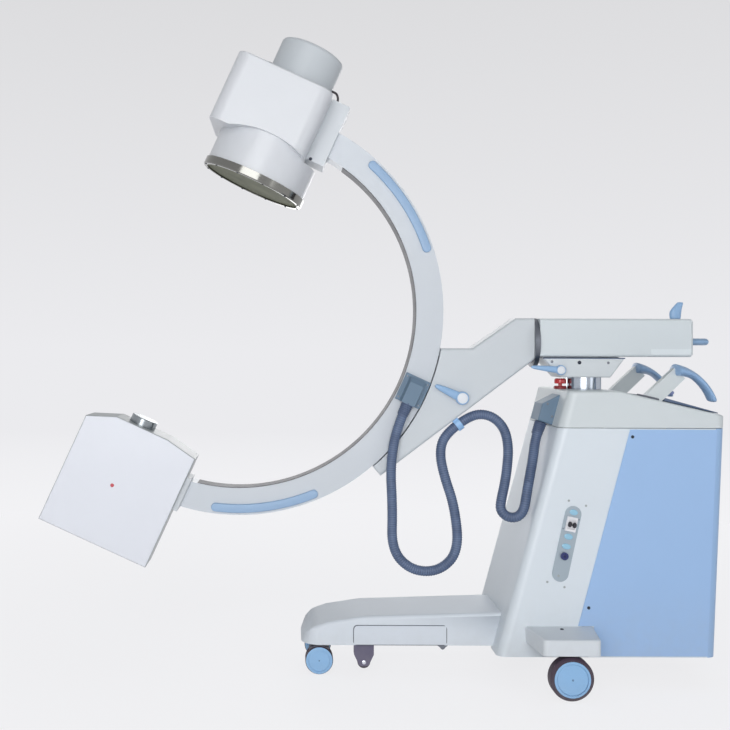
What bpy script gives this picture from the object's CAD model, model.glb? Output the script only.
import math
from contextlib import contextmanager

import bmesh
import bpy
from mathutils import Matrix, Vector


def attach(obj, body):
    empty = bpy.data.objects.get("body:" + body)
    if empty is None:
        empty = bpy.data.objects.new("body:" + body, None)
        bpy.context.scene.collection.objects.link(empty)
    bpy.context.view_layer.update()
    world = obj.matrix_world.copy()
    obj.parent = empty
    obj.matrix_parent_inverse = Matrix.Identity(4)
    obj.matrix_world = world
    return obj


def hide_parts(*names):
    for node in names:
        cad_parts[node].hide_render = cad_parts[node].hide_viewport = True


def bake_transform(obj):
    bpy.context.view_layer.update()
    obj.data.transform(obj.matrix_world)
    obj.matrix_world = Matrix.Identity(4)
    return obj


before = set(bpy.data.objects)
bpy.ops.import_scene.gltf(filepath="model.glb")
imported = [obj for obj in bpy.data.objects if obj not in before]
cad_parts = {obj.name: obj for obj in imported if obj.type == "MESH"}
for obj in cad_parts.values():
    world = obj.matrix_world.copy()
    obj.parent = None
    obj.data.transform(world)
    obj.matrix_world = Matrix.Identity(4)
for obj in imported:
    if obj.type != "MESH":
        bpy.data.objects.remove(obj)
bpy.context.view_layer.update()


# Camera: a nearly level view of the unit's left side from 3.2 m away, at its boom's height.
def new_object(name, data):
    piece = bpy.data.objects.new(name, data)
    bpy.context.scene.collection.objects.link(piece)
    return piece


camera_data = bpy.data.cameras.new("left_side_camera")
camera_data.sensor_width = 36
camera_data.lens = 51.78
camera_data.shift_x = 0.1007
camera_data.shift_y = -0.0205
camera = new_object("left_side_camera", camera_data)
camera.location = (-0.25505, -3.2, 0.955)
camera.rotation_euler = (math.radians(90), math.radians(-0.2), 0)
bpy.context.scene.camera = camera
bpy.context.scene.view_settings.view_transform = "Standard"


# Studio: a pale painted floor that runs out into a pale surround, one large soft lamp beside
# the camera, a small one at the right and one behind. The floor keeps the unit's shadow.
def colour(red, green, blue):
    """A colour as a paint chart gives it, from 0 to 255, in Blender's linear values."""
    values = []
    for part in (red, green, blue):
        part = part / 255
        values.append(part / 12.92 if part <= 0.04045 else ((part + 0.055) / 1.055) ** 2.4)
    return (*values, 1.0)


def empty_material(name):
    material = bpy.data.materials.new(name)
    material.use_nodes = True
    material.node_tree.nodes.clear()
    return material, material.node_tree


def add(tree, kind, inputs=None, **settings):
    """One node with its settings. Each input is a value or another node's output."""
    node = tree.nodes.new(kind)
    for name, value in settings.items():
        setattr(node, name, value)
    for name, given in (inputs or {}).items():
        if isinstance(given, bpy.types.NodeSocket):
            tree.links.new(given, node.inputs[name])
        else:
            node.inputs[name].default_value = given
    return node


def sum_up(tree, operation, *given):
    """A maths node's result."""
    return add(tree, "ShaderNodeMath", dict(enumerate(given)), operation=operation).outputs[0]


def remap(tree, value, low, high, to_low=0.0, to_high=1.0):
    """A value carried over from one range to another."""
    return add(tree, "ShaderNodeMapRange", {
        "Value": value, "From Min": low, "From Max": high, "To Min": to_low, "To Max": to_high,
    }).outputs[0]


def two_shades(tree, value, low, first, high, last):
    """A colour that runs from the first to the last as a value goes from low to high."""
    ramp = add(tree, "ShaderNodeValToRGB", {"Fac": value})
    for stop, place, shade in zip(ramp.color_ramp.elements, (low, high), (first, last)):
        stop.position, stop.color = place, colour(*shade)
    return ramp.outputs["Color"]


def object_place(tree):
    return add(tree, "ShaderNodeTexCoord").outputs["Object"]


def split_up(tree, vector):
    return add(tree, "ShaderNodeSeparateXYZ", {0: vector}).outputs


def seen_directly(tree):
    """1 for what the camera, a reflection or a view through glass sees, and 0 for lighting."""
    path = add(tree, "ShaderNodeLightPath").outputs
    seen = sum_up(tree, "MAXIMUM", path["Is Camera Ray"], path["Is Glossy Ray"])
    return sum_up(tree, "MAXIMUM", seen, path["Is Transmission Ray"])


def alone(piece):
    """Leaves one piece selected and active."""
    bpy.ops.object.select_all(action="DESELECT")
    piece.select_set(True)
    bpy.context.view_layer.objects.active = piece


def begin(name, primitive, **settings):
    """A primitive as the start of a new piece."""
    bpy.ops.object.select_all(action="DESELECT")
    primitive(**settings)
    piece = bpy.context.object
    piece.name = name
    return piece


@contextmanager
def editing(piece):
    """The piece in edit mode, with all of it selected."""
    alone(piece)
    bpy.ops.object.mode_set(mode="EDIT")
    bpy.ops.mesh.select_all(action="SELECT")
    yield
    bpy.ops.object.mode_set(mode="OBJECT")


floor = begin("studio_floor", bpy.ops.mesh.primitive_plane_add, size=40, location=(0, 0, 0))
with editing(floor):
    bpy.ops.mesh.subdivide(number_cuts=7)
material, tree = empty_material("studio_floor_paint")
place = object_place(tree)
depth = remap(tree, split_up(tree, place)["Y"], -1.2, 9.0)
shade = two_shades(tree, depth, 0, (247, 247, 249), 1, (235, 235, 238))
matte = add(tree, "ShaderNodeBsdfPrincipled", {"Base Color": shade, "Roughness": 0.6})
glow = add(tree, "ShaderNodeEmission", {"Color": shade})
away = add(tree, "ShaderNodeVectorMath", {0: place}, operation="LENGTH").outputs["Value"]
# The floor glows less near the unit, so that the unit's shadow stays on it.
open_floor = remap(tree, away, 0.9, 3.4, 0.86, 1.0)
share = sum_up(tree, "MULTIPLY", seen_directly(tree), open_floor)
mixed = add(tree, "ShaderNodeMixShader", {0: share, 1: matte.outputs[0], 2: glow.outputs[0]})
add(tree, "ShaderNodeOutputMaterial", {"Surface": mixed.outputs[0]})
floor.data.materials.append(material)

world = bpy.data.worlds.new("studio")
bpy.context.scene.world = world
world.use_nodes = True
tree = world.node_tree
tree.nodes.clear()
heights = split_up(tree, add(tree, "ShaderNodeTexCoord").outputs["Generated"])["Z"]
shade = two_shades(tree, remap(tree, heights, 0.0, 0.33), 0, (235, 235, 238), 1, (220, 220, 222))
surround = add(tree, "ShaderNodeBackground", {"Color": shade})
lighting = add(tree, "ShaderNodeBackground", {"Color": (0.95, 0.975, 1.0, 1.0), "Strength": 0.30})
mixed = add(tree, "ShaderNodeMixShader", {
    0: seen_directly(tree), 1: lighting.outputs[0], 2: surround.outputs[0],
})
add(tree, "ShaderNodeOutputWorld", {"Surface": mixed.outputs[0]})

for name, spot, size, power in (
    ("lamp_by_the_camera", (-0.9, -4.8, 1.7), 3.2, 128),
    ("lamp_at_the_right", (3.4, -3.2, 1.6), 2.0, 14),
    ("lamp_behind", (0.6, 4.8, 1.5), 3.0, 56),
):
    lamp_data = bpy.data.lights.new(name, "AREA")
    lamp_data.size = size
    lamp_data.energy = power
    lamp = new_object(name, lamp_data)
    lamp.location = spot
    lamp.rotation_euler = (Vector((0, 0, 0.9)) - Vector(spot)).to_track_quat("-Z", "Y").to_euler()


# Hoses: two lengths of corrugated grey-blue cable hose, 30 mm across, moulded in soft plastic.
# The front one hangs from the gland on the C to the clip under the arm, and the rear one runs on
# from there to the cabinet's hood, bending at each joint that it passes.
hose_size, rib_pitch, rib_depth, hose_sides = 0.030, 0.0066, 0.0012, 28
front_points = [
    (0.09180, -0.062, 0.79460), (0.05945, -0.062, 0.72362), (0.03995, -0.076, 0.612),
    (0.04695, -0.080, 0.486), (0.04395, -0.084, 0.362), (0.10295, -0.088, 0.302),
    (0.18595, -0.090, 0.301), (0.24395, -0.086, 0.361), (0.23195, -0.074, 0.492),
    (0.20195, -0.058, 0.583), (0.19095, -0.042, 0.651), (0.20881, -0.032, 0.70202),
    (0.24860, -0.032, 0.73230),
]
rear_points = [
    (0.24860, -0.032, 0.73230), (0.28839, -0.032, 0.76258), (0.34295, -0.038, 0.763),
    (0.38395, -0.048, 0.727), (0.39495, -0.062, 0.669), (0.38695, -0.078, 0.604),
    (0.37695, -0.091, 0.557), (0.36595, -0.102, 0.520), (0.35995, -0.111, 0.487),
    (0.37895, -0.118, 0.467), (0.40695, -0.123, 0.466), (0.42645, -0.126, 0.486),
    (0.43395, -0.126, 0.530), (0.44595, -0.112, 0.582), (0.46195, -0.088, 0.638),
    (0.47493, -0.060, 0.69476), (0.49165, -0.060, 0.74400),
]


def hose_line(name, points):
    """Points read along the smooth line that a hose follows."""
    curve = bpy.data.curves.new(name, "CURVE")
    curve.dimensions = "3D"
    spline = curve.splines.new("NURBS")
    spline.points.add(len(points) - 1)
    for point, spot in zip(spline.points, points):
        point.co = (*spot, 1)
    spline.order_u = 3
    spline.use_endpoint_u = True
    spline.resolution_u = 16
    holder = new_object(name, curve)
    bpy.context.view_layer.update()
    line = bpy.data.meshes.new_from_object(holder)
    spots = [Vector(vertex.co) for vertex in line.vertices]
    bpy.data.objects.remove(holder)
    bpy.data.curves.remove(curve)
    bpy.data.meshes.remove(line)
    return spots


def even_steps(spots, count):
    """The same line in equal steps, and its length."""
    steps = [0.0]
    for before, after in zip(spots, spots[1:]):
        steps.append(steps[-1] + (after - before).length)
    found, index = [], 0
    for number in range(count + 1):
        want = steps[-1] * number / count
        while index < len(spots) - 2 and steps[index + 1] < want:
            index += 1
        run = steps[index + 1] - steps[index]
        found.append(spots[index].lerp(spots[index + 1], (want - steps[index]) / run))
    return found, steps[-1]


def corrugated_tube(name, spots):
    """A closed tube with rounded ribs, and a UV map that runs along it in metres."""
    ribs = round(sum((b - a).length for a, b in zip(spots, spots[1:])) / rib_pitch)
    steps = ribs * 4
    spots, length = even_steps(spots, steps)
    ways = [(after - before).normalized()
            for before, after in zip(spots[:1] + spots[:-1], spots[1:] + spots[-1:])]
    shape = bmesh.new()
    uv = shape.loops.layers.uv.new("along")
    side = ways[0].orthogonal().normalized()
    rings = []
    for number, (spot, way) in enumerate(zip(spots, ways)):
        side = (side - way * side.dot(way)).normalized()
        up = way.cross(side)
        radius = hose_size / 2 - rib_depth * (1 - (0.0, 0.6, 1.0, 0.6)[number % 4])
        rings.append([
            shape.verts.new(spot + (side * math.cos(turn) + up * math.sin(turn)) * radius)
            for turn in (2 * math.pi * step / hose_sides for step in range(hose_sides))
        ])
    for number, (ring, after) in enumerate(zip(rings, rings[1:])):
        low, high = length * number / steps, length * (number + 1) / steps
        for step in range(hose_sides):
            following = (step + 1) % hose_sides
            face = shape.faces.new((ring[step], after[step], after[following], ring[following]))
            face.smooth = True
            corners = ((low, step), (high, step), (high, step + 1), (low, step + 1))
            for loop, (along, turned) in zip(face.loops, corners):
                loop[uv].uv = (along, turned / hose_sides)
    shape.faces.new(rings[0])
    shape.faces.new(list(reversed(rings[-1])))
    bmesh.ops.recalc_face_normals(shape, faces=shape.faces)
    mesh = bpy.data.meshes.new(name)
    shape.to_mesh(mesh)
    shape.free()
    return new_object(name, mesh), spots, length


def noise(tree, place, scale, detail, roughness=0.5):
    return add(tree, "ShaderNodeTexNoise", {
        "Vector": place, "Scale": scale, "Detail": detail, "Roughness": roughness,
    }).outputs["Fac"]


def bump(tree, height, distance, strength):
    return add(tree, "ShaderNodeBump", {
        "Height": height, "Distance": distance, "Strength": strength,
    }).outputs["Normal"]


def blend_colours(tree, share, first, second):
    return add(tree, "ShaderNodeMix", {0: share, 6: first, 7: second},
               data_type="RGBA").outputs[2]


def toned(tree, base, amount):
    """A colour made lighter or darker by an amount."""
    return add(tree, "ShaderNodeVectorMath", {0: base, "Scale": amount},
               operation="SCALE").outputs[0]


def new_group(name, inputs, outputs):
    """An empty node group, with the sockets of its input and output nodes."""
    tree = bpy.data.node_groups.new(name, "ShaderNodeTree")
    for way, sockets in (("INPUT", inputs), ("OUTPUT", outputs)):
        for socket, kind in sockets.items():
            tree.interface.new_socket(socket, in_out=way, socket_type=f"NodeSocket{kind}")
    given, made = tree.nodes.new("NodeGroupInput"), tree.nodes.new("NodeGroupOutput")
    return tree, given.outputs, made.inputs


# The skin of painted and moulded surfaces: orange peel, faint changes of tone, rubbed patches.
surface_skin, given, made = new_group("surface_skin", {
    "Colour": "Color", "Tone change": "Float", "Roughness": "Float", "Roughness change": "Float",
    "Peel scale": "Float", "Peel height": "Float",
}, {"Colour": "Color", "Roughness": "Float", "Normal": "Vector"})
tree = surface_skin
place = object_place(tree)
spread = sum_up(tree, "SUBTRACT", noise(tree, place, 4.5, 5.0), 0.5)
amount = sum_up(tree, "MULTIPLY_ADD", spread, given["Tone change"], 1.0)
tree.links.new(toned(tree, given["Colour"], amount), made["Colour"])
spread = sum_up(tree, "SUBTRACT", noise(tree, place, 17.0, 8.0, 0.62), 0.5)
rough = sum_up(tree, "MULTIPLY_ADD", spread, given["Roughness change"], given["Roughness"])
tree.links.new(rough, made["Roughness"])
peel = noise(tree, place, given["Peel scale"], 2.0)
tree.links.new(bump(tree, peel, 0.0004, given["Peel height"]), made["Normal"])

# Grey dust that thins out with height above the floor, broken up by noise.
floor_dust, given, made = new_group("floor_dust", {
    "Colour": "Color", "Roughness": "Float", "Dust height": "Float", "Dust amount": "Float",
}, {"Colour": "Color", "Roughness": "Float"})
tree = floor_dust
place = object_place(tree)
fade = remap(tree, split_up(tree, place)["Z"], 0.0, given["Dust height"], 1.0, 0.0)
thick = sum_up(tree, "MULTIPLY", fade, noise(tree, place, 38.0, 8.0))
thick = sum_up(tree, "MULTIPLY", thick, given["Dust amount"])
tree.links.new(blend_colours(tree, thick, given["Colour"], colour(172, 168, 162)), made["Colour"])
tree.links.new(sum_up(tree, "MULTIPLY_ADD", thick, 0.5, given["Roughness"]), made["Roughness"])


def cover_with(tree, base, roughness, normal, metallic=0.0, coat=0.0, specular=0.5):
    """A material's shader and its output."""
    shader = add(tree, "ShaderNodeBsdfPrincipled", {
        "Base Color": base, "Roughness": roughness, "Normal": normal, "Metallic": metallic,
        "Coat Weight": coat, "Specular IOR Level": specular,
    })
    add(tree, "ShaderNodeOutputMaterial", {"Surface": shader.outputs[0]})


def finish(name, base, roughness=0.4, tone=0.05, rub=0.1, peel=650.0, height=0.05,
           metallic=0.0, coat=0.0, specular=0.5, dust=0.0, dust_height=0.25, second=None,
           where=None):
    """A painted or moulded finish: the skin, with dust near the floor where it is asked for.
    A second colour covers the part that where() gives from the place's X, Y and Z."""
    material, tree = empty_material(name)
    base = colour(*base)
    if second:
        mask = where(tree, split_up(tree, object_place(tree)))
        base = blend_colours(tree, mask, base, colour(*second))
    skin = top = add(tree, "ShaderNodeGroup", {
        "Colour": base, "Tone change": tone, "Roughness": roughness, "Roughness change": rub,
        "Peel scale": peel, "Peel height": height,
    }, node_tree=surface_skin)
    if dust:
        top = add(tree, "ShaderNodeGroup", {
            "Colour": skin.outputs["Colour"], "Roughness": skin.outputs["Roughness"],
            "Dust height": dust_height, "Dust amount": dust,
        }, node_tree=floor_dust)
    cover_with(tree, top.outputs["Colour"], top.outputs["Roughness"], skin.outputs["Normal"],
               metallic, coat, specular)
    return material


hose_plastic, tree = empty_material("hose_plastic")
place = object_place(tree)
tones = two_shades(tree, noise(tree, place, 22.0, 6.0), 0.3, (80, 97, 128), 0.72, (104, 122, 154))
along = split_up(tree, add(tree, "ShaderNodeUVMap", uv_map="along").outputs[0])["X"]
valley = sum_up(tree, "COSINE", sum_up(tree, "MULTIPLY", along, 2 * math.pi / rib_pitch))
groove = remap(tree, valley, -0.4, 1.0, 0.0, 0.45)
cover_with(tree, blend_colours(tree, groove, tones, colour(52, 64, 90)),
           remap(tree, noise(tree, place, 60.0, 8.0), 0.0, 1.0, 0.36, 0.6),
           bump(tree, noise(tree, place, 1400.0, 2.0), 0.0003, 0.12))


def add_hose(name, node, spots):
    """A hose that bends between two bodies, with what is known of it as a cord."""
    piece, path, length = corrugated_tube(name, spots)
    piece.data.materials.append(hose_plastic)
    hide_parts(node)
    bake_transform(piece)


add_hose("front_hose", "hose_front", hose_line("front_hose_line", front_points))
rear_spots, _ = even_steps(hose_line("rear_hose_line", rear_points), 400)
for number, (before, after) in enumerate(
    (("arm", "boom"), ("boom", "swivel"), ("swivel", "lift"), ("lift", "base"))
):
    add_hose(f"rear_hose_{number + 1}", "hose_rear",
             rear_spots[number * 100:number * 100 + 101])


# Strain reliefs: tapered ribbed sleeves of darker rubber that are pushed over the hose where it
# leaves the gland on the C and where it enters the cabinet's hood, and clamped inside them.
def settle(piece, angle=35):
    """Puts a piece's place, turn and size into its mesh, and turns its faces outwards."""
    alone(piece)
    bpy.ops.object.transform_apply()
    with editing(piece):
        bpy.ops.mesh.remove_doubles(threshold=0.00001)
        bpy.ops.mesh.normals_make_consistent(inside=False)
    bpy.ops.object.shade_smooth_by_angle(angle=math.radians(angle))
    return piece


def place_at(piece, spot, first, second, third):
    """Stands a piece at a spot, with its own X, Y and Z along three directions."""
    turn = Matrix((first, second, third)).transposed().to_4x4()
    piece.matrix_world = Matrix.Translation(spot) @ turn


def round_off(piece):
    """One level of subdivision, applied."""
    softer = piece.modifiers.new("rounding", "SUBSURF")
    softer.levels = softer.render_levels = 1
    alone(piece)
    bpy.ops.object.modifier_apply(modifier=softer.name)


def drawn_out(name, rings, start, way, over=None, sides=40, rounded=False):
    """A piece drawn out of a disc, ring by ring, along a direction. A ring is its distance
    along, its half widths across, and where a third pair is given, how far it is shifted."""
    rings = [ring if len(ring) > 3 else (*ring, 0, 0) if len(ring) == 3
             else (ring[0], ring[1], ring[1], 0, 0) for ring in rings]
    piece = begin(name, bpy.ops.mesh.primitive_circle_add, vertices=sides, radius=1,
                  fill_type="NGON")
    with editing(piece):
        at, wide, deep, left, up = rings[0]
        bpy.ops.transform.resize(value=(wide, deep, 1), center_override=(0, 0, 0))
        bpy.ops.transform.translate(value=(left, up, at))
        for (low, wide, deep, left, up), (high, wide_2, deep_2, left_2, up_2) in zip(
            rings, rings[1:]
        ):
            bpy.ops.mesh.extrude_region_move(
                TRANSFORM_OT_translate={"value": (left_2 - left, up_2 - up, high - low)})
            bpy.ops.transform.resize(value=(wide_2 / wide, deep_2 / deep, 1),
                                     center_override=(left_2, up_2, high))
    way = Vector(way).normalized()
    across = way.orthogonal() if over is None else Vector(over) - way * Vector(over).dot(way)
    across.normalize()
    place_at(piece, start, across, way.cross(across), way)
    if rounded:
        round_off(piece)
    return settle(piece)


def add_piece(piece, material, slot_name, body, *replaced):
    """Gives a finished piece its finish, its slot and the body that it moves with."""
    piece.data.materials.append(material)
    if replaced:
        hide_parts(*replaced)
    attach(piece, body)
    return piece


def add_drawn(name, rings, start, way, material, slot_name, body, *replaced, **shape):
    """A drawn-out piece with its finish, slot and body."""
    add_piece(drawn_out(name, rings, start, way, **shape), material, slot_name, body, *replaced)


def relief_rings(length, thick, thin, ribs):
    """Rings of a sleeve that narrows from thick to thin in rounded ribs."""
    rings = [(0.0, thick), (0.004, thick)]
    for rib in range(ribs):
        low = 0.006 + (length - 0.008) * rib / ribs
        step = (length - 0.008) / ribs
        size = thick + (thin - thick) * (rib + 1) / ribs
        rings += [(low, size - 0.0012), (low + step * 0.25, size), (low + step * 0.7, size),
                  (low + step * 0.9, size - 0.0012)]
    return rings + [(length, thin - 0.0012)]


sleeve_rubber = finish("sleeve_rubber", (84, 99, 128), roughness=0.55, tone=0.12, peel=900.0,
                       height=0.12)
for name, end, before, inwards, length, body in (
    ("gland_sleeve", front_points[0], front_points[1], -0.004, 0.042, "c_assembly"),
    ("hood_sleeve", rear_points[-1], rear_points[-2], 0.002, 0.040, "base"),
):
    way = (Vector(before) - Vector(end)).normalized()
    add_drawn(name, relief_rings(length, 0.0182, 0.0166, 6), Vector(end) + way * inwards, way,
              sleeve_rubber, "hose_grey", body)


# Base frame: a welded frame of square steel tube under the covers, with the column's foot, the
# wheel brackets and the axle stubs, all painted in one grey coat.
def dress(material, *names):
    """Gives CAD nodes a finish."""
    for name in names:
        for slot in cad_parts[name].material_slots:
            slot.material = material


dress(finish("frame_paint", (120, 124, 130), roughness=0.45, tone=0.1, rub=0.2, peel=420.0,
             height=0.1, dust=0.9, dust_height=0.3), "base_frame")


# Keel: a vacuum-formed white cover with a rounded nose over the frame's beam. A thin dark gap
# runs round the service hatch on each side, and a catch and a bolt hold each hatch from below.
sides = (("left", -1), ("right", 1))
dress(finish("hatch_paint", (220, 227, 236), roughness=0.42, tone=0.04, specular=0.35, dust=0.4,
             dust_height=0.2), "keel_hatches")


def side_plate(name, middle, size, corner, segments, thick, outward, width=None):
    """A flat plate on a side face with rounded corners, or a frame of the given width."""
    piece = begin(name, bpy.ops.mesh.primitive_plane_add, size=1, location=middle,
                  rotation=(math.radians(90), 0, 0))
    piece.scale = (*size, 1)
    bpy.ops.object.transform_apply(location=False, rotation=False, scale=True)
    with editing(piece):
        bpy.ops.mesh.bevel(offset=corner, segments=segments, affect="VERTICES")
        bpy.ops.mesh.select_all(action="SELECT")
        if width:
            bpy.ops.mesh.inset(thickness=width, depth=0)
            bpy.ops.mesh.delete(type="FACE")
            bpy.ops.mesh.select_all(action="SELECT")
        bpy.ops.mesh.extrude_region_move(
            TRANSFORM_OT_translate={"value": (0, thick * outward, 0)})
    return settle(piece)


keel_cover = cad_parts["keel_cover"]
keel = keel_cover.copy()
keel.data = keel_cover.data.copy()
keel.name = "keel_shell"
keel.parent = None
bpy.context.scene.collection.objects.link(keel)
keel.data.materials.clear()
with editing(keel):
    bpy.ops.mesh.remove_doubles(threshold=0.00002)
bpy.ops.object.shade_smooth_by_angle(angle=math.radians(36))
add_piece(keel, finish("keel_paint", (222, 229, 237), roughness=0.5, rub=0.12, specular=0.3,
                       dust=0.4, dust_height=0.2), "white_plastic", "base", "keel_cover")

gap_rubber = finish("gap_rubber", (98, 102, 112), roughness=0.7, tone=0.1, peel=900.0)
for side, outward in sides:
    gap = side_plate(f"hatch_gap_{side}", (0.0665, 0.1196 * outward, 0.1195), (0.2754, 0.0594),
                     0.012, 6, 0.0012, outward, width=0.0026)
    add_piece(gap, gap_rubber, "dark_liner", "base")

bolt_steel = finish("bolt_steel", (126, 130, 138), roughness=0.32, tone=0.12, rub=0.25,
                    metallic=1.0, peel=1200.0)


def screw_set(name, spots, way, body, size=0.0045, material=bolt_steel, height=0.0016):
    """Button-head screws with sunk drives: one modelled, copied to each spot and joined."""
    first = drawn_out(name, [
        (-0.001, size), (height * 0.45, size), (height * 0.85, size * 0.86), (height, size * 0.62),
        (height, size * 0.42), (height * 0.2, size * 0.40), (height * 0.2, size * 0.1),
    ], spots[0], way, sides=18)
    copies = []
    for spot in spots[1:]:
        copy = first.copy()
        copy.data = first.data.copy()
        bpy.context.scene.collection.objects.link(copy)
        copy.location = Vector(spot) - Vector(spots[0])
        alone(copy)
        bpy.ops.object.transform_apply(location=True, rotation=False, scale=False)
        copies.append(copy)
    alone(first)
    for copy in copies:
        copy.select_set(True)
    if copies:
        bpy.ops.object.join()
    add_piece(first, material, "steel", body)


for side, outward in sides:
    add_drawn(f"hatch_catch_{side}", [
        (0.0, 0.0155, 0.008), (0.003, 0.0155, 0.008), (0.005, 0.0145, 0.007),
        (0.009, 0.009, 0.0065), (0.0135, 0.0055, 0.005), (0.0155, 0.0028, 0.0025),
    ], (0.193, 0.108 * outward, 0.0905), (0, 0, -1), bolt_steel, "steel", "base",
              over=(1, 0, 0), sides=24)


# Cabinet: a folded sheet-steel shell in white enamel, light blue round its rear. Its plastic top
# cover sits over it with a shadow gap, and both are screwed to the frame from inside.
def round_the_rear(tree, place):
    """What lies behind a line that leans back with height, as the cabinet's rear edge does."""
    lean = sum_up(tree, "MULTIPLY_ADD", place["Z"], -0.0342, place["X"])
    return sum_up(tree, "GREATER_THAN", lean, 0.9335)


dress(finish("cabinet_enamel", (221, 229, 236), roughness=0.36, tone=0.04, peel=520.0, height=0.07,
             dust=0.3, dust_height=0.3, second=(155, 188, 227), where=round_the_rear),
      "cabinet_shell")
dress(finish("cover_plastic", (211, 218, 221), roughness=0.42, rub=0.12, peel=800.0, height=0.08),
      "cabinet_top")


# Side panels: two removable sheets in light blue paint on the cabinet's rear half, with bent
# edges, hooked in at the rear and held by two dark screws each at the front.
screw_black = finish("screw_black", (52, 56, 68), roughness=0.42, tone=0.15, rub=0.2,
                     metallic=0.6, peel=1200.0)
dress(finish("panel_paint", (160, 193, 234), roughness=0.36, tone=0.035, peel=520.0, height=0.07,
             dust=0.3, dust_height=0.3), "side_panels")
panel_face = 0.2032
for side, outward in sides:
    screw_set(f"panel_screws_{side}", [(0.7195, panel_face * outward, 0.7105),
                                       (0.5960, panel_face * outward, 0.222)],
              (0, outward, 0), "base", size=0.0046, material=screw_black)


# Keypad: a dark wedge-shaped console on the sloping deck, higher at its front end, with two
# small displays and three rows of domed rubber keys let into its top.
def pick(piece, kind, test):
    """In edit mode, selects the verts, edges or faces that pass a test."""
    bpy.ops.mesh.select_mode(type=kind[:-1].upper())
    bpy.ops.mesh.select_all(action="DESELECT")
    shape = bmesh.from_edit_mesh(piece.data)
    for part in getattr(shape, kind):
        part.select = test(part)
    bmesh.update_edit_mesh(piece.data)


deck_front, deck_back = Vector((0.8185, 0, 0.8120)), Vector((0.9735, 0, 0.7763))
front_rise, back_rise, half_block = 0.0095, 0.0028, 0.005
console = begin("keypad_console", bpy.ops.mesh.primitive_cube_add, size=1,
                location=(deck_front + deck_back) / 2)
console.scale = (deck_back.x - deck_front.x, 0.356, half_block * 2)
bpy.ops.object.transform_apply()
block_z = (deck_front.z + deck_back.z) / 2
with editing(console):
    for at_front, old_z, new_z in (
        (True, block_z + half_block, deck_front.z + front_rise),
        (True, block_z - half_block, deck_front.z),
        (False, block_z + half_block, deck_back.z + back_rise),
        (False, block_z - half_block, deck_back.z),
    ):
        pick(console, "verts", lambda vert: ((vert.co.x < 0.9) == at_front
                                             and abs(vert.co.z - old_z) < 0.0001))
        bpy.ops.transform.translate(value=(0, 0, new_z - old_z))
    bpy.ops.mesh.select_all(action="SELECT")
    bpy.ops.mesh.bevel(offset=0.0012, segments=2, affect="EDGES")
add_piece(settle(console), finish("keypad_glass", (80, 99, 128), roughness=0.3, tone=0.12,
                                  peel=900.0, height=0.03, coat=0.3),
          "dark_keypad", "base", "control_surface")
console_high = deck_front + Vector((0, 0, front_rise))
console_way = (deck_back + Vector((0, 0, back_rise)) - console_high).normalized()
console_up = Vector((-console_way.z, 0, console_way.x)).normalized()


def console_key(name, along, y, half_x, half_y, high, material, slot_name):
    """A domed key or window on the console, at its place along and across the top."""
    spot = console_high + console_way * along
    spot.y = y
    add_drawn(name, [
        (-0.0004, half_x, half_y), (high * 0.6, half_x, half_y),
        (high * 0.9, half_x * 0.95, half_y * 0.95), (high, half_x * 0.84, half_y * 0.84),
    ], spot, console_up, material, slot_name, "base", over=console_way, sides=24)


key_rubber = finish("key_rubber", (176, 196, 218), roughness=0.55, tone=0.1, peel=1200.0,
                    height=0.12)
display_glass = finish("display_glass", (26, 38, 48), roughness=0.08, tone=0.2, rub=0.04,
                       height=0.0, coat=0.6)
for row, along in enumerate((0.083, 0.110, 0.137)):
    for column in range(6):
        console_key(f"key_{row + 1}_{column + 1}", along, -0.125 + column * 0.05, 0.0085, 0.014,
                    0.0014, key_rubber, "grey_blue")
for number, y in enumerate((-0.085, 0.085)):
    console_key(f"display_{number + 1}", 0.040, y, 0.024, 0.058, 0.0008, display_glass,
                "black_plastic")


# Control plate: an anodised plate with round ends on the cabinet's left side. It carries the
# twin breaker in its housing, three small lamps behind light blue windows and the socket for
# the earth pin, and four screws stand around it.
dress(finish("plate_grey", (163, 176, 186), tone=0.08, rub=0.15, metallic=0.25, peel=900.0,
             height=0.04), "control_plate")
dress(finish("breaker_white", (236, 236, 240), roughness=0.36, tone=0.03), "breaker_body")
dress(finish("socket_blue", (38, 48, 104), roughness=0.28, tone=0.12, rub=0.15), "earth_socket")
plate_long = Vector((math.sin(math.radians(12)), 0, math.cos(math.radians(12))))
plate_across = Vector((plate_long.z, 0, -plate_long.x))


def on_plate(along, across=0.0, y=-0.202):
    """A spot on the plate, from its middle along and across it."""
    spot = Vector((0.53295, y, 0.404)) + plate_long * along + plate_across * across
    return tuple(spot)


breaker_along = 0.058
breaker_black = finish("breaker_black", (34, 32, 42), roughness=0.34, tone=0.15, peel=900.0,
                       height=0.08)
for number, across in enumerate((-0.0066, 0.0066)):
    add_drawn(f"breaker_paddle_{number + 1}", [
        (0.0, 0.0028, 0.0028), (0.0088, 0.0030, 0.0028), (0.0098, 0.0060, 0.0080),
        (0.0128, 0.0058, 0.0078), (0.0140, 0.0050, 0.0062),
    ], on_plate(breaker_along, across, -0.2048), (0, -1, 0), breaker_black, "black_plastic",
              "breaker", "breaker_toggles", over=plate_across, sides=20)
lamp_window = finish("lamp_window", (150, 200, 226), roughness=0.14, tone=0.16, rub=0.05,
                     peel=220.0, coat=0.6)
for name, along, half_wide, half_long in (("top", 0.0925, 0.0120, 0.0082),
                                          ("middle", 0.0215, 0.0125, 0.0085),
                                          ("low", -0.007, 0.0130, 0.0080)):
    add_drawn(f"plate_window_{name}", [
        (-0.0005, half_wide, half_long), (0.0018, half_wide, half_long),
        (0.0026, half_wide * 0.93, half_long * 0.9), (0.003, half_wide * 0.75, half_long * 0.7),
    ], on_plate(along), (0, -1, 0), lamp_window, "light_blue", "base", over=plate_across,
              sides=28)
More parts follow.
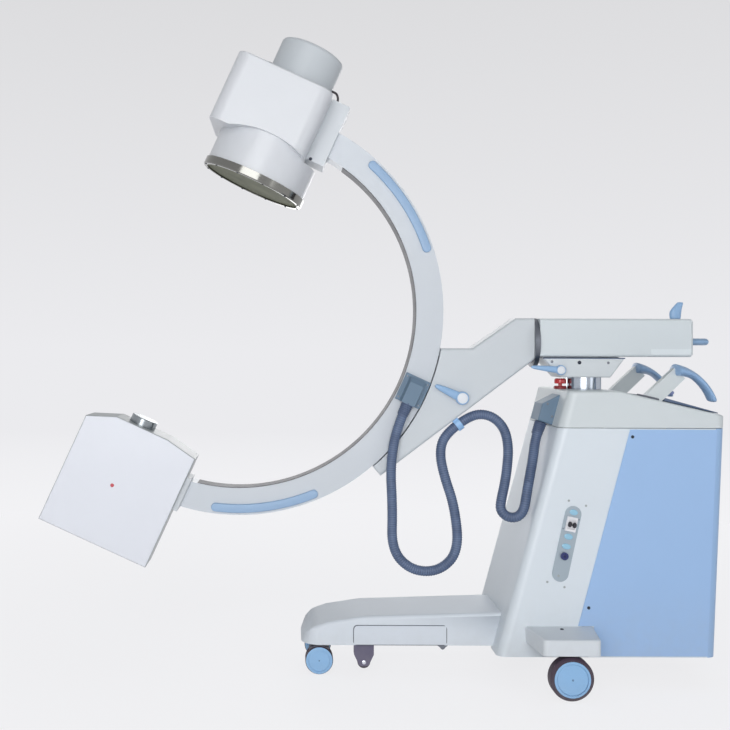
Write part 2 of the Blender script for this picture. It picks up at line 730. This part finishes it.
screw_pale = finish("screw_pale", (168, 174, 176), tone=0.1, rub=0.15, metallic=0.3, peel=1200.0)
screw_set("plate_screws", [
    on_plate(along, across, -0.2001)
    for along, across in ((0.122, -0.020), (0.118, 0.031), (-0.118, -0.031), (-0.122, 0.020))
], (0, -1, 0), "base", size=0.0034, material=screw_pale)
screw_set("plate_end_screws", [on_plate(-0.094, -0.004)], (0, -1, 0), "base", size=0.0034,
          material=screw_pale)
screw_set("breaker_screws", [on_plate(breaker_along + 0.017, 0.0195),
                             on_plate(breaker_along - 0.017, -0.0195)],
          (0, -1, 0), "base", size=0.002)


# Axle covers: two moulded white hoods over the ends of the rear cross beam, fastened to the
# cabinet by a screw on top and one below.
dress(finish("axle_plastic", (219, 225, 231), rub=0.14, peel=750.0, height=0.08, dust=0.5,
             dust_height=0.22), "axle_blocks")
for side, outward in sides:
    screw_set(f"axle_cover_screw_{side}", [(0.512, 0.232 * outward, 0.168)], (0, 0, 1), "base",
              size=0.0052, material=screw_black, height=0.0022)


# Push handles: two cast arms in white powder coat, bolted under the deck, each with a curved
# light blue grip of hard plastic that is pressed over the arm's end. A rubber pad lies under each
# arm, and the left arm has a button.
dress(finish("arm_coat", (206, 213, 215), roughness=0.42, rub=0.12, peel=480.0, height=0.11),
      "handle_arms")
dress(finish("button_blue", (118, 130, 176), roughness=0.34, tone=0.1), "handle_button")
grip_bend, grip_start, grip_sweep, grip_steps = 0.150, 21.4, 48.5, 28


def curved_grip(name, y):
    """A grip drawn along its bend: a thick root over the arm's end, then a tapering bar."""
    widths = []
    for step in range(grip_steps + 1):
        share = step / grip_steps
        swell = 0.5 + 0.5 * math.cos(math.pi * min(1.0, share / 0.46))
        end = max(0.0, (share - 0.94) / 0.06, (0.045 - share) / 0.045)
        widths.append((0.0098 + 0.0072 * swell) * math.sqrt(max(0.06, 1 - end * end)))
    first = math.radians(grip_start + grip_sweep + 8.5)
    turn = -math.radians(grip_sweep + 12.5) / grip_steps
    centre = Vector((0.81635, y, 0.7622))
    outer = grip_bend + 0.0105
    out = Vector((math.cos(first), 0, math.sin(first)))
    along = Vector((math.sin(first), 0, -math.cos(first)))
    piece = begin(name, bpy.ops.mesh.primitive_circle_add, vertices=24, radius=1,
                  fill_type="NGON", location=(0, 0, 0))
    # The section's own X points away from the bend's centre, and its own Y across the unit.
    piece.scale = (widths[0], 0.0125, 1)
    bpy.ops.object.transform_apply(location=False, rotation=False, scale=True)
    place_at(piece, centre + out * (outer - widths[0]), out, along.cross(out), along)
    bpy.ops.object.transform_apply()
    with editing(piece):
        for step in range(1, grip_steps + 1):
            angle = first + turn * step
            bpy.ops.mesh.extrude_region_move(TRANSFORM_OT_translate={"value": (0, 0, 0)})
            bpy.ops.transform.rotate(value=turn, orient_axis="Y", center_override=tuple(centre))
            size = widths[step] / widths[step - 1]
            spot = centre + Vector((math.cos(angle), 0, math.sin(angle))) * outer
            bpy.ops.transform.resize(value=(size, size, size), center_override=tuple(spot))
    round_off(piece)
    return settle(piece, angle=60)


grip_blue = finish("grip_blue", (146, 180, 218), roughness=0.38, tone=0.07, rub=0.2, peel=700.0,
                   height=0.07)
handle_y = 0.172
for side, outward in sides:
    add_drawn(f"arm_foot_{side}", [
        (-0.002, 0.036, 0.0185), (0.0022, 0.036, 0.0185), (0.0034, 0.0345, 0.0172),
    ], (0.7765, handle_y * outward, 0.8216), (0.2256, 0, 0.9742), gap_rubber, "dark_liner", "base",
              over=(1, 0, -0.23), sides=28)
for side, outward in sides:
    add_piece(curved_grip(f"grip_{side}", handle_y * outward), grip_blue, "light_blue", "base",
              "handle_grips")


# Lifting column: a ground and chromed steel tube that rises out of a fixed outer tube in the
# cabinet, driven from inside. The chrome has fine vertical grinding marks.
brushed_metal, given, made = new_group("brushed_metal", {
    "Colour": "Color", "Direction": "Vector", "Roughness": "Float", "Mark depth": "Float",
}, {"Colour": "Color", "Roughness": "Float", "Normal": "Vector"})
tree = brushed_metal
stretched = add(tree, "ShaderNodeVectorMath", {0: object_place(tree), 1: given["Direction"]},
                operation="MULTIPLY").outputs[0]
marks = noise(tree, stretched, 1.0, 5.0)
shade = remap(tree, marks, 0.0, 1.0, 0.88, 1.08)
tree.links.new(toned(tree, given["Colour"], shade), made["Colour"])
spread = sum_up(tree, "SUBTRACT", marks, 0.5)
tree.links.new(sum_up(tree, "MULTIPLY_ADD", spread, 0.22, given["Roughness"]), made["Roughness"])
tree.links.new(bump(tree, marks, 0.0002, given["Mark depth"]), made["Normal"])


def metal(name, base, roughness, direction, marks=0.05):
    """A bare or plated metal with marks across the given scales of X, Y and Z."""
    material, tree = empty_material(name)
    skin = add(tree, "ShaderNodeGroup", {
        "Colour": colour(*base), "Direction": direction, "Roughness": roughness,
        "Mark depth": marks,
    }, node_tree=brushed_metal).outputs
    cover_with(tree, skin["Colour"], skin["Roughness"], skin["Normal"], metallic=1.0)
    return material


dress(metal("column_chrome", (176, 184, 194), 0.16, (900, 900, 12)), "column_piston")
dress(metal("sleeve_steel", (140, 144, 150), 0.36, (600, 600, 14), marks=0.1), "column_sleeve")


# Generator: a folded aluminium case with the high-voltage electronics, bolted to the base frame
# behind the column, out of sight inside the cabinet.
dress(metal("case_aluminium", (160, 166, 172), 0.4, (20, 400, 400), marks=0.08),
      "generator_block")


# Emergency stop: a round red mushroom button in glossy plastic on a darker red collar, in front
# of the column.
dress(finish("stop_red", (198, 30, 36), roughness=0.24, tone=0.08, rub=0.14, peel=700.0,
             height=0.03, coat=0.4), "stop_button")
dress(finish("stop_collar", (142, 34, 40), tone=0.12, peel=900.0, height=0.08),
      "stop_button_base")


# Hood: a moulded grey-blue housing on the cabinet's front edge that the rear hose runs into.
gland_plastic = finish("gland_plastic", (104, 128, 150), roughness=0.5, tone=0.08, rub=0.16,
                       peel=850.0, height=0.13)
dress(gland_plastic, "cabinet_gland")
screw_set("hood_screws", [(0.4995, -0.1102, 0.7995), (0.5125, -0.1102, 0.762)], (0, -1, 0),
          "base", size=0.0036)


# Keel roller: a small hard rubber roller that pushes cables aside, between two black steel
# brackets bolted under the keel, with a bright axle end on each.
dress(finish("bracket_black", (92, 88, 112), roughness=0.42, tone=0.14, rub=0.2, metallic=0.3,
             peel=600.0, height=0.1, dust=0.3, dust_height=0.12), "roller_brackets")
dress(finish("roller_rubber", (58, 52, 66), roughness=0.6, tone=0.14, peel=900.0, height=0.14,
             dust=0.3, dust_height=0.08), "support_roller")
axle_bright = metal("axle_bright", (214, 216, 226), 0.3, (500, 500, 500))
for side, outward in sides:
    add_drawn(f"roller_axle_cap_{side}", [
        (-0.003, 0.0062), (0.0, 0.0062), (0.0012, 0.0056), (0.0018, 0.004),
    ], (-0.0381, 0.105 * outward, 0.035), (0, outward, 0), axle_bright, "steel", "base", sides=24)


# Rear wheels: dark purple-grey rubber tyres moulded on plastic discs in light blue, held on the
# axle stubs by a sunk screw under a small cap.
tyre_rubber = finish("tyre_rubber", (58, 42, 60), roughness=0.6, tone=0.2, rub=0.2, peel=900.0,
                     height=0.16, dust=0.3, dust_height=0.12)
disc_blue = finish("disc_blue", (144, 189, 231), roughness=0.38, rub=0.16, peel=700.0,
                   height=0.07, dust=0.2, dust_height=0.12)
cap_grey = finish("cap_grey", (104, 136, 172), tone=0.1)
dress(tyre_rubber, "rear_tyre_left", "rear_tyre_right")
dress(disc_blue, "rear_hub_left", "rear_hub_right")


def rim_ring(name, inner, outer, high, spot, outward):
    """The rolled edge of a disc: a flat ring with a rounded outer edge."""
    ring = drawn_out(name, [
        (0.0, outer), (high * 0.5, outer), (high * 0.85, outer - high * 0.3),
        (high, outer - high * 0.9), (high * 0.98, inner),
    ], spot, (0, outward, 0), sides=72)
    with editing(ring):
        pick(ring, "faces", lambda face: len(face.verts) > 8)
        bpy.ops.mesh.delete(type="ONLY_FACE")
        bpy.ops.mesh.select_mode(type="EDGE")
        bpy.ops.mesh.select_all(action="DESELECT")
        bpy.ops.mesh.select_non_manifold()
        bpy.ops.mesh.bridge_edge_loops()
    return settle(ring)


rear_axle_x, rear_axle_z = 0.51295, 0.060
for side, outward in sides:
    add_drawn(f"rear_wheel_cap_{side}", [
        (-0.006, 0.0042), (-0.0012, 0.0042), (-0.0004, 0.0038), (0.0, 0.0028),
    ], (rear_axle_x, 0.348 * outward, rear_axle_z), (0, outward, 0), cap_grey, "grey_blue",
              f"rear_wheel_{side}", sides=24)
    ring = rim_ring(f"rear_disc_rim_{side}", 0.0435, 0.0496, 0.0026,
                    (rear_axle_x, 0.3452 * outward, rear_axle_z), outward)
    add_piece(ring, disc_blue, "light_blue", f"rear_wheel_{side}")


# Front casters: twin-disc swivel casters, each with a black plastic fork and hood, two tyres of
# the same rubber and light blue discs on one axle.
dress(finish("fork_black", (70, 66, 84), roughness=0.45, tone=0.12, peel=800.0, height=0.12,
             dust=0.3, dust_height=0.14), "caster_core_left", "caster_core_right")
dress(tyre_rubber, "caster_tyres_left", "caster_tyres_right")
dress(disc_blue, "caster_hubs_left", "caster_hubs_right")
caster_x, caster_z = -0.17005, 0.041
for side, centre in (("left", -0.088), ("right", 0.088)):
    for face, outward in (("near", -1), ("far", 1)):
        add_drawn(f"caster_cap_{side}_{face}", [
            (-0.004, 0.0036), (-0.0008, 0.0036), (-0.0003, 0.0032), (0.0, 0.0022),
        ], (caster_x, centre + 0.023 * outward, caster_z), (0, outward, 0), cap_grey, "grey_blue",
                  f"caster_wheels_{side}", sides=20)
        ring = rim_ring(f"caster_rim_{side}_{face}", 0.0322, 0.0392, 0.0022,
                        (caster_x, centre + 0.0208 * outward, caster_z), outward)
        add_piece(ring, disc_blue, "light_blue", f"caster_wheels_{side}")


# Carriage: a white casting that turns on the column's spigot and carries the boom on a dovetail
# rail. A dark wiper strip closes the gap under the boom, and three screws show on each side.
dress(finish("casting_white", (215, 221, 225), roughness=0.42, rub=0.12, peel=420.0, height=0.12),
      "carriage")
carriage_face = 0.0601
for side, outward in sides:
    strip = begin(f"wiper_strip_{side}", bpy.ops.mesh.primitive_cube_add, size=1,
                  location=(0.620, carriage_face * outward, 0.9334))
    strip.scale = (0.246, 0.0012, 0.0030)
    bpy.ops.object.transform_apply()
    with editing(strip):
        bpy.ops.mesh.bevel(offset=0.0003, segments=2, affect="EDGES")
    add_piece(settle(strip), sleeve_rubber, "dark_liner", "swivel")
    screw_set(f"carriage_screw_dark_{side}", [(0.6062, carriage_face * outward, 0.9205)],
              (0, outward, 0), "swivel", size=0.0056, material=screw_black)
    screw_set(f"carriage_screws_{side}", [(0.6925, carriage_face * outward, 0.9200),
                                          (0.5240, carriage_face * outward, 0.9230)],
              (0, outward, 0), "swivel", size=0.0040)


# Boom: an aluminium profile in white enamel that slides on the carriage. Its end caps are set
# off by a fine joint, and a thin bare plate is riveted on each side near the rear.
dress(finish("boom_enamel", (216, 224, 228), roughness=0.36, tone=0.045, peel=520.0, height=0.07,
             coat=0.1), "boom_housing")
plate_silver = finish("plate_silver", (224, 232, 236), roughness=0.3, rub=0.15, metallic=0.25,
                      peel=900.0, height=0.03)
for side, outward in sides:
    plate = side_plate(f"bare_plate_{side}", (0.878, 0.0651 * outward, 0.9535), (0.118, 0.0165),
                       0.002, 4, 0.0005, outward)
    add_piece(plate, plate_silver, "aluminium", "boom")


# Clamping levers: glass-filled nylon levers in light blue, each on a threaded pin. The two on
# the sides have a round hub with a white cap and a blade that narrows to a rounded tip.
lever_blue = finish("lever_blue", (148, 184, 222), tone=0.08, rub=0.2, height=0.09)
lever_cap = finish("lever_cap", (228, 232, 238), roughness=0.32, tone=0.04)
pin_steel = metal("pin_steel", (150, 154, 160), 0.32, (500, 60, 500))


def clamping_lever(name, x, z, face, hub_size, length, heading, body):
    """A lever on a side face: its hub, cap, pin and blade, which all turn together."""
    way = Vector((math.cos(math.radians(heading)), 0, math.sin(math.radians(heading))))
    outwards, blade_y, blade_thick = (0, -1, 0), face - 0.0135, 0.0062
    # The blade keeps its thickness for four fifths of its length and then thins to its tip.
    add_drawn(f"{name}_blade", [
        (length * share, hub_size * half, blade_thick * (1 - max(0.0, share - 0.8) * 2.6))
        for share, half in ((0.0, 0.62), (0.12, 0.68), (0.3, 0.64), (0.5, 0.56), (0.7, 0.47),
                            (0.88, 0.38), (0.97, 0.26), (1.0, 0.10))
    ], (x, blade_y, z), way, lever_blue, "light_blue", body, name,
              over=way.cross(Vector((0, 1, 0))), sides=20, rounded=True)
    add_drawn(f"{name}_hub", [
        (0.0, hub_size * 0.82), (0.002, hub_size * 0.9), (0.006, hub_size), (0.016, hub_size),
        (0.0190, hub_size * 0.96), (0.0204, hub_size * 0.86), (0.0200, hub_size * 0.80),
    ], (x, face - 0.0012, z), outwards, lever_blue, "light_blue", body, name, sides=48)
    add_drawn(f"{name}_cap", [
        (-0.0015, hub_size * 0.80), (0.0006, hub_size * 0.80), (0.0016, hub_size * 0.74),
        (0.0023, hub_size * 0.60), (0.0026, hub_size * 0.35),
    ], (x, face - 0.0205, z), outwards, lever_cap, "white_plastic", body, name, sides=48)
    add_drawn(f"{name}_pin", [(0.0, 0.0052), (0.001, 0.006), (0.014, 0.006), (0.0155, 0.0045)],
              (x, face + 0.0135, z), outwards, pin_steel, "steel", body, name, sides=24)


clamping_lever("swivel_lever", 0.54695, 0.898, -0.0600, 0.0150, 0.089, 174, "swivel_brake")
clamping_lever("orbit_lever", 0.25595, 0.813, -0.0500, 0.0200, 0.090, 155, "orbit_brake")

add_drawn("travel_lever_fin", [
    (0.0, 0.0160, 0.0092, 0.0, 0.0), (0.003, 0.0166, 0.0096, 0.0, 0.0),
    (0.012, 0.0178, 0.0098, -0.0004, 0.0), (0.020, 0.0182, 0.0098, 0.0002, 0.0),
    (0.027, 0.0172, 0.0090, 0.0018, 0.0), (0.034, 0.0152, 0.0080, 0.0052, 0.0),
    (0.041, 0.0130, 0.0068, 0.0094, 0.0), (0.0470, 0.0110, 0.0054, 0.0128, 0.0),
    (0.0508, 0.0092, 0.0038, 0.0146, 0.0), (0.0522, 0.0070, 0.0020, 0.0150, 0.0),
], (0.91395, 0, 1.0528), (0, 0, 1), lever_blue, "light_blue", "travel_brake", "travel_lever",
          over=(1, 0, 0), sides=24, rounded=True)
add_drawn("travel_lever_pin", [(0.0, 0.0070), (0.001, 0.008), (0.0155, 0.008)],
          (0.91395, 0, 1.0390), (0, 0, 1), pin_steel, "steel", "travel_brake", "travel_lever",
          sides=24)

lever_dark = finish("lever_dark", (140, 172, 206), roughness=0.42, tone=0.08, rub=0.2,
                    height=0.09)
add_drawn("rotation_handle_bar", [
    (0.0, 0.0100, 0.0195), (0.0012, 0.0105, 0.0205), (0.010, 0.0105, 0.0215),
    (0.0575, 0.0105, 0.0218), (0.0602, 0.0100, 0.0212), (0.0616, 0.0088, 0.0198),
    (0.0619, 0.0074, 0.0180),
], (0.9467, 0, 0.984), (1, 0, 0), lever_dark, "light_blue", "rotation_brake", "rotation_handle",
          over=(0, 0, 1), sides=32)
add_drawn("rotation_handle_stem", [(0.0, 0.0070), (0.001, 0.008), (0.0290, 0.008)],
          (0.9195, 0, 0.984), (1, 0, 0), pin_steel, "steel", "rotation_brake", "rotation_handle",
          sides=24)


# Rotation shaft: a turned steel shaft in the boom with a round flange that the arm's shoulder is
# bolted to. The flange's edge shows as a dark joint between the two.
dress(metal("flange_steel", (112, 116, 124), 0.4, (40, 700, 700), marks=0.08), "rotation_shaft")


# Slanted arm: a hollow white casting from the flange down to the C. Its front is scooped out to
# the C's curve and carries the curved holder.
dress(finish("arm_white", (206, 212, 217), rub=0.12, peel=420.0, height=0.11), "slanted_arm")


# Roller holder: an aluminium block that follows the C's back, with a tongue in the C's slot and
# two pairs of steel rollers that run in its chamber.
dress(metal("holder_aluminium", (168, 172, 178), 0.36, (300, 30, 300), marks=0.1),
      "roller_holder")
dress(metal("roller_steel", (176, 178, 182), 0.24, (700, 20, 700), marks=0.06),
      "bogie_roller_upper", "bogie_roller_lower")


# Hose clip: a split band of light blue plastic under the arm that grips both hoses, closed by
# one screw.
dress(finish("clip_blue", (150, 192, 236), roughness=0.36, tone=0.06, rub=0.12, peel=750.0,
             height=0.06), "hose_clip")


# C-arc: a bent aluminium extrusion in pale grey paint, slotted along its back for the holder,
# with a dark wear strip along its inner face.
dress(finish("arc_paint", (204, 210, 217), roughness=0.34, tone=0.045, peel=500.0, coat=0.1),
      "c_arc")
dress(finish("wear_strip", (112, 112, 116), roughness=0.5, tone=0.12, rub=0.2, peel=1000.0,
             height=0.1), "c_liner")
c_middle = Vector((-0.41205, 0, 1.072))
c_tilt = math.radians(24.5)


def on_c(x, y, z):
    """A way drawn with the C's beam upright, turned to the C's tilt."""
    return Vector((x * math.cos(c_tilt) + z * math.sin(c_tilt), y,
                   -x * math.sin(c_tilt) + z * math.cos(c_tilt)))


# C grips: four long strips of light blue plastic on the C's side faces, with round ends and
# rounded edges, pressed on to clips.
strip_low, strip_high, strip_thick, strip_middle_y = 0.5810, 0.6070, 0.0085, 0.0443
strip_span, strip_steps = math.radians(31.5), 17


def grip_strip(name, middle, outward):
    """A strip spun about the C's axis from its rounded section, with its ends rounded."""
    piece = begin(name, bpy.ops.mesh.primitive_plane_add, size=1, location=(0, 0, 0))
    piece.scale = (strip_high - strip_low, strip_thick, 1)
    bpy.ops.object.transform_apply(scale=True)
    first = math.radians(middle) - strip_span / 2 + c_tilt
    across, y_way = Vector((math.cos(first), 0, -math.sin(first))), Vector((0, 1, 0))
    spot = c_middle + across * (strip_low + strip_high) / 2 + y_way * strip_middle_y * outward
    place_at(piece, spot, across, y_way, across.cross(y_way))
    bpy.ops.object.transform_apply()
    outer_y = (strip_middle_y + strip_thick / 2) * outward

    def at_end_corner(edge):
        low, high = edge.verts
        upright = sum(abs(face.normal.y) < 0.5 for face in edge.link_faces) == 2
        return (abs(low.co.y - high.co.y) > 0.004 and upright
                and edge.calc_face_angle(0) > math.radians(60))

    def on_outer_rim(edge):
        return (all(abs(vert.co.y - outer_y) < 0.0002 for vert in edge.verts)
                and edge.calc_face_angle(0) > math.radians(40))

    with editing(piece):
        for step in range(strip_steps):
            bpy.ops.mesh.extrude_region_move(TRANSFORM_OT_translate={"value": (0, 0, 0)})
            bpy.ops.transform.rotate(value=-strip_span / strip_steps, orient_axis="Y",
                                     center_override=tuple(c_middle))
        pick(piece, "edges", at_end_corner)
        bpy.ops.mesh.bevel(offset=0.0127, segments=8, affect="EDGES", clamp_overlap=True)
        pick(piece, "edges", on_outer_rim)
        bpy.ops.mesh.bevel(offset=0.0034, segments=4, affect="EDGES", clamp_overlap=True)
    return settle(piece, angle=50)


strip_blue = finish("strip_blue", (150, 180, 213), tone=0.07, rub=0.18, peel=700.0, height=0.08)
for name, middle in (("upper", -57.75), ("lower", 57.75)):
    for side, outward in sides:
        add_piece(grip_strip(f"c_grip_{name}_{side}", middle, outward), strip_blue, "light_blue",
                  "c_assembly", "c_grips")


# C gland: a grey-blue plastic housing screwed to the C's left side face, where the hose's cables
# go into the C.
dress(gland_plastic, "c_gland")
screw_set("gland_screws", [tuple(c_middle + on_c(x, -0.0521, z))
                           for x in (0.5402, 0.6068) for z in (0.0335, -0.0335)],
          (0, -1, 0), "c_assembly", size=0.0028)


# Image intensifier: a spun housing in white enamel whose upper half is a rounded box, a chromed
# ring round the input screen and a cast bracket to the C. The camera's cylinder stands on top
# in pale grey plastic, with two black leads.
dress(finish("housing_enamel", (216, 219, 224), roughness=0.36, tone=0.035, peel=520.0,
             height=0.06, coat=0.15), "intensifier_housing")
dress(finish("camera_plastic", (200, 206, 211), roughness=0.44, peel=800.0, height=0.09),
      "camera_cap")
dress(finish("bracket_white", (212, 217, 222), roughness=0.42, rub=0.12, peel=420.0, height=0.11),
      "intensifier_mount")
dress(metal("ring_chrome", (128, 128, 124), 0.14, (60, 60, 700), marks=0.03), "intensifier_ring")
dress(finish("lead_black", (48, 42, 48), roughness=0.45, tone=0.12, peel=1100.0, height=0.08),
      "camera_cables")

input_screen, tree = empty_material("input_screen")
place = object_place(tree)
cells = add(tree, "ShaderNodeTexVoronoi", {"Vector": place, "Scale": 260.0}).outputs["Distance"]
clouds = noise(tree, place, 7.0, 4.0)
cover_with(tree, two_shades(tree, clouds, 0.32, (96, 98, 80), 0.7, (132, 134, 114)),
           remap(tree, clouds, 0.0, 1.0, 0.5, 0.66), bump(tree, cells, 0.0002, 0.06),
           specular=0.15)
dress(input_screen, "intensifier_window")

# The ring's screws stand on a circle about the beam, which runs beside the C's middle.
beam_x, ring_circle, ring_face = -0.126, 0.1562, 0.3612
ring_spots = []
for number in range(12):
    turn = math.radians(15 + 30 * number)
    ring_spots.append(tuple(c_middle + on_c(beam_x + ring_circle * math.cos(turn),
                                            ring_circle * math.sin(turn), ring_face)))
screw_set("ring_screws", ring_spots, on_c(0, 0, -1), "c_assembly", size=0.0032,
          material=screw_black)
for side, outward in sides:
    screw_set(f"bracket_screw_{side}", [(-0.2000, 0.0551 * outward, 1.5275)], (0, outward, 0),
              "c_assembly", size=0.0050, material=screw_black)


# Tube head: a welded steel housing lined with lead, with pale side covers on a grey rim, a
# bracket to the C and a chromed collar round the beam's way out. A red dot on each side cover
# marks the focal spot.
def on_side_cover(tree, place):
    return sum_up(tree, "GREATER_THAN", sum_up(tree, "ABSOLUTE", place["Y"]), 0.0688)


dress(finish("tube_paint", (172, 178, 180), tone=0.035, peel=520.0, height=0.07, coat=0.1,
             second=(228, 231, 239), where=on_side_cover), "tube_housing")
dress(finish("joint_white", (200, 205, 210), tone=0.06, rub=0.14, peel=480.0, height=0.09),
      "tube_mount")
dress(metal("collar_chrome", (150, 156, 160), 0.2, (60, 60, 700), marks=0.04), "collimator")
mark_red = finish("mark_red", (196, 74, 84), tone=0.08)
focus = c_middle + on_c(beam_x, 0, -0.631)
for side, outward in sides:
    add_drawn(f"focus_mark_{side}", [
        (-0.0005, 0.0056), (0.0004, 0.0056), (0.0007, 0.0050), (0.0008, 0.0036),
    ], (focus.x, 0.070 * outward, focus.z), (0, outward, 0), mark_red, "stop_red", "c_assembly",
              sides=32)
